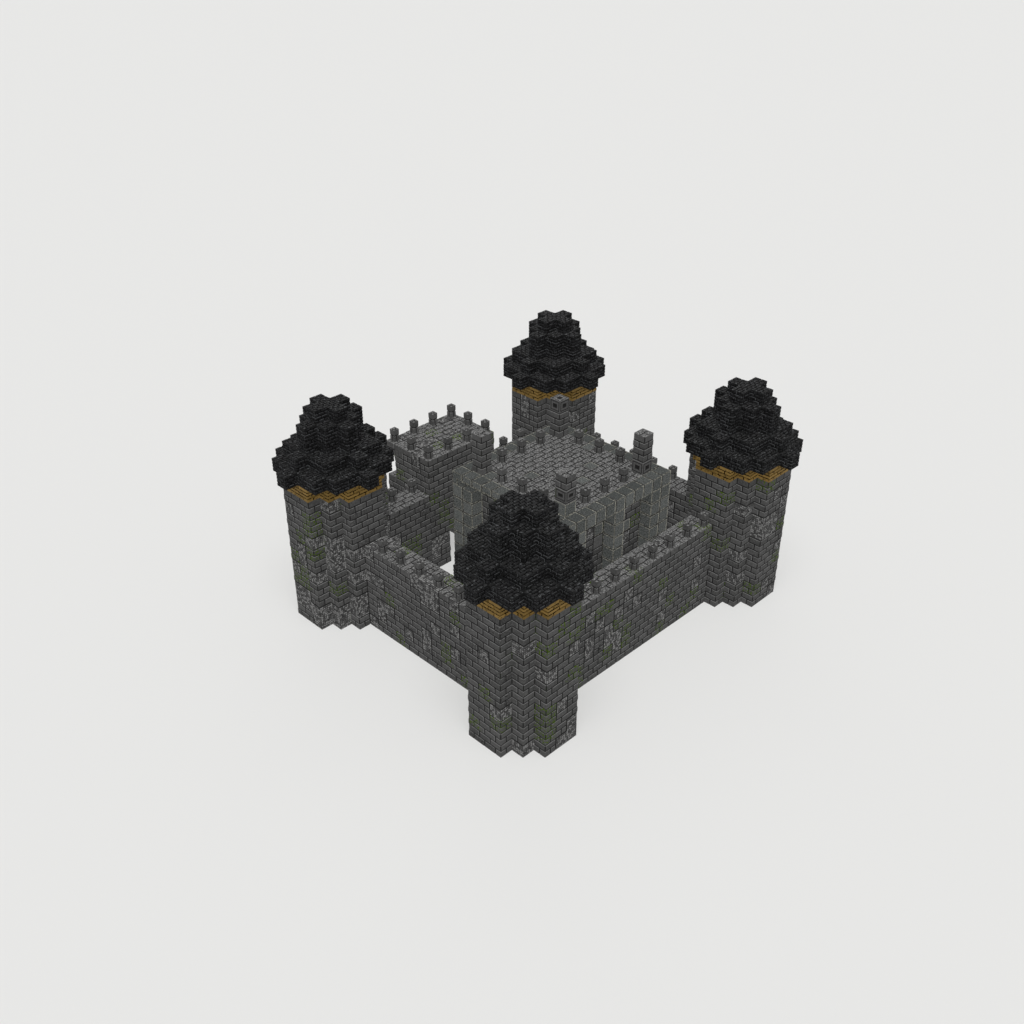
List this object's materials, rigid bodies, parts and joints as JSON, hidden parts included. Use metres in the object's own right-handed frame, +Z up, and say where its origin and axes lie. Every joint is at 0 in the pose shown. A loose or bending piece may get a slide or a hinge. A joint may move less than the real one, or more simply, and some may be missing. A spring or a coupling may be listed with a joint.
{
  "type": "walled castle",
  "caption": "Walled castle in grey masonry: round corner towers with dark stepped roofs, a gatehouse and a tall square hall.",
  "frame": {"origin": "on the ground at the middle of the castle's plan", "axes": "+Z up, +Y towards the gatehouse side, +X along the south wall to the right of someone facing the gatehouse side"},
  "size_m": [32, 28, 17],
  "materials": {
    "masonry": "rough grey ashlar in running bond",
    "dressed_stone": "smooth grey dressed stone",
    "timber_boards": "tan sawn boards laid flat",
    "dark_roof": "near-black flaky slate"
  },
  "bodies": {
    "root": {"tower_wall_southwest_outer": "masonry", "tower_wall_southwest_inner": "masonry", "tower_collar_southwest": "timber_boards", "tower_roof_southwest": "dark_roof", "tower_wall_northwest_outer": "masonry", "tower_wall_northwest_inner": "masonry", "tower_collar_northwest": "timber_boards", "tower_roof_northwest": "dark_roof", "tower_wall_southeast_outer": "masonry", "tower_wall_southeast_inner": "masonry", "tower_collar_southeast": "timber_boards", "tower_roof_southeast": "dark_roof", "tower_wall_northeast_outer": "masonry", "tower_wall_northeast_inner": "masonry", "tower_collar_northeast": "timber_boards", "tower_roof_northeast": "dark_roof", "curtain_wall_south": "masonry", "curtain_wall_west": "masonry", "curtain_wall_east": "masonry", "curtain_wall_north_left": "masonry", "curtain_wall_north_right": "masonry", "wall_merlons_south": "masonry", "wall_merlons_north": "masonry", "wall_merlons_west": "masonry", "wall_merlons_east": "masonry", "gatehouse_side_west": "masonry", "gatehouse_side_east": "masonry", "gatehouse_lintel": "masonry", "gatehouse_back_wall": "masonry", "gatehouse_front_wall": "masonry", "gatehouse_roof": "masonry", "gatehouse_merlons": "masonry", "hall_wall_south": "masonry", "hall_wall_north": "masonry", "hall_wall_west": "masonry", "hall_wall_east": "masonry", "hall_corner_pilasters": "dressed_stone", "hall_middle_pilasters": "dressed_stone", "hall_cornice": "dressed_stone", "hall_roof": "masonry", "hall_merlons": "masonry", "hall_piers": "masonry"}
  },
  "joints": []
}
